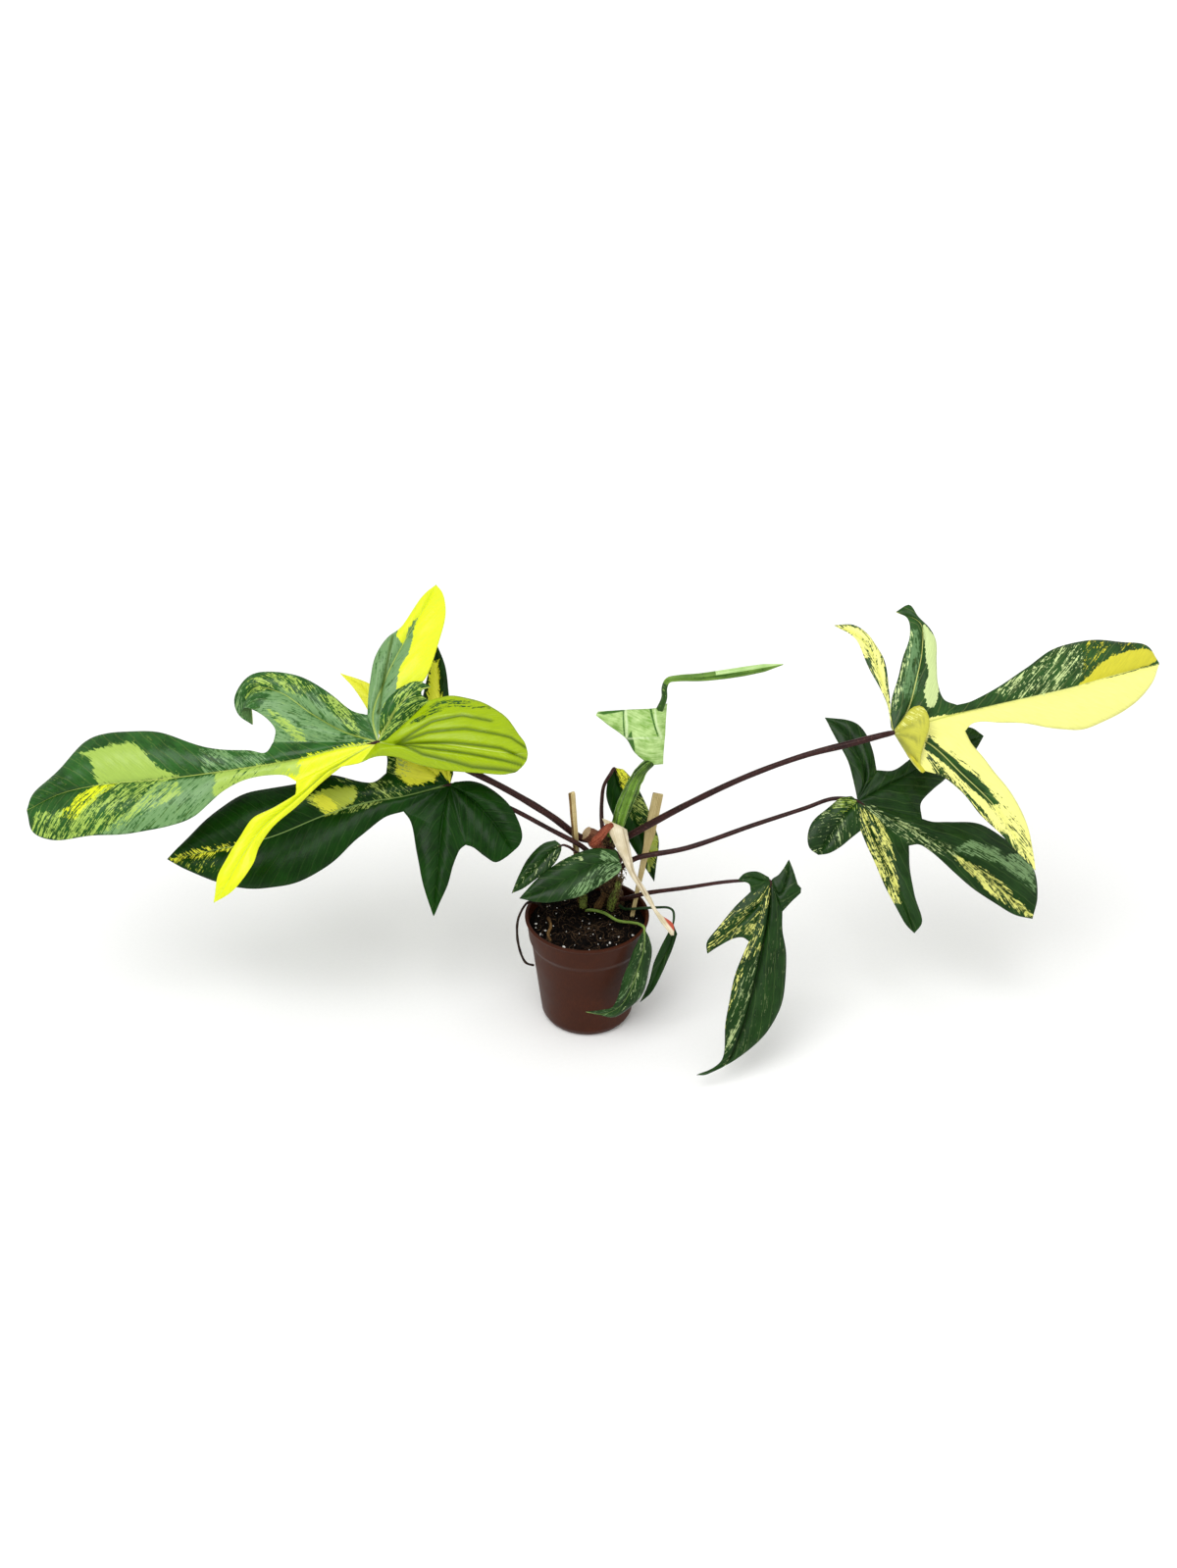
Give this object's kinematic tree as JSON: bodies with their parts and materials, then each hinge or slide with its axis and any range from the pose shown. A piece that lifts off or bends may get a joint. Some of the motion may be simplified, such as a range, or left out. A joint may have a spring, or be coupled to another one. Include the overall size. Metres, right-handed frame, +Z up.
{
  "type": "potted variegated climbing philodendron",
  "caption": "Potted climbing aroid with long-lobed green and yellow variegated leaves on slender dark stalks, held by bamboo stakes in a round brown nursery pot.",
  "frame": {"origin": "centre of the flat underside of the pot, on the surface that it stands on", "axes": "+Z up; +X to the right as seen from the front, along the widest spread of the leaves; -Y towards the viewer, the side that the leaves face"},
  "size_m": [0.9862, 0.2452, 0.3623],
  "materials": {
    "pot": "satin thermoformed plastic",
    "potting_mix": "loose dark bark and peat mix",
    "stem": "rough brown stem",
    "old_sheath_brown": "dry brown fibrous sheath",
    "old_sheath_green": "withered green sheath",
    "bamboo": "split bamboo",
    "petiole": "dark maroon leaf stalk, slightly scurfy",
    "petiole_green": "flat green leaf stalk",
    "leaf_green": "glossy dark green leaf with yellow variegation",
    "leaf_lime": "glossy half green, half bright yellow leaf",
    "leaf_pale": "glossy pale yellow and dark green leaf",
    "new_growth": "soft glossy fresh green",
    "dry_sheath": "papery cream sheath with a red tip",
    "root": "thin brown aerial root"
  },
  "bodies": {
    "root": {"pot": "pot", "potting_mix": "potting_mix", "stem": "stem", "crown_stub": "old_sheath_brown", "new_leaf_sheath": "new_growth", "new_leaf": "new_growth", "dry_sheath": "dry_sheath", "stake_left": "bamboo", "stake_right": "bamboo", "petiole_upper_left": "petiole", "blade_upper_left": "leaf_lime", "petiole_lower_left": "petiole", "blade_lower_left": "leaf_green", "petiole_upper_right": "petiole", "blade_upper_right": "leaf_pale", "petiole_lower_right": "petiole", "blade_lower_right": "leaf_green", "petiole_front_right": "petiole", "blade_front_right": "leaf_green", "petiole_back": "petiole", "blade_back": "leaf_green", "petiole_small_left": "petiole", "blade_small_left": "leaf_green", "petiole_small_front": "petiole", "blade_small_front": "leaf_green", "petiole_over_rim": "petiole_green", "blade_over_rim": "leaf_green", "petiole_narrow": "petiole", "blade_narrow": "leaf_green", "old_red_sheath": "old_sheath_brown", "old_brown_sheath": "old_sheath_brown", "old_green_sheath_left": "old_sheath_green", "old_green_sheath_right": "old_sheath_green", "aerial_root": "root", "surface_root": "root"}
  },
  "joints": []
}
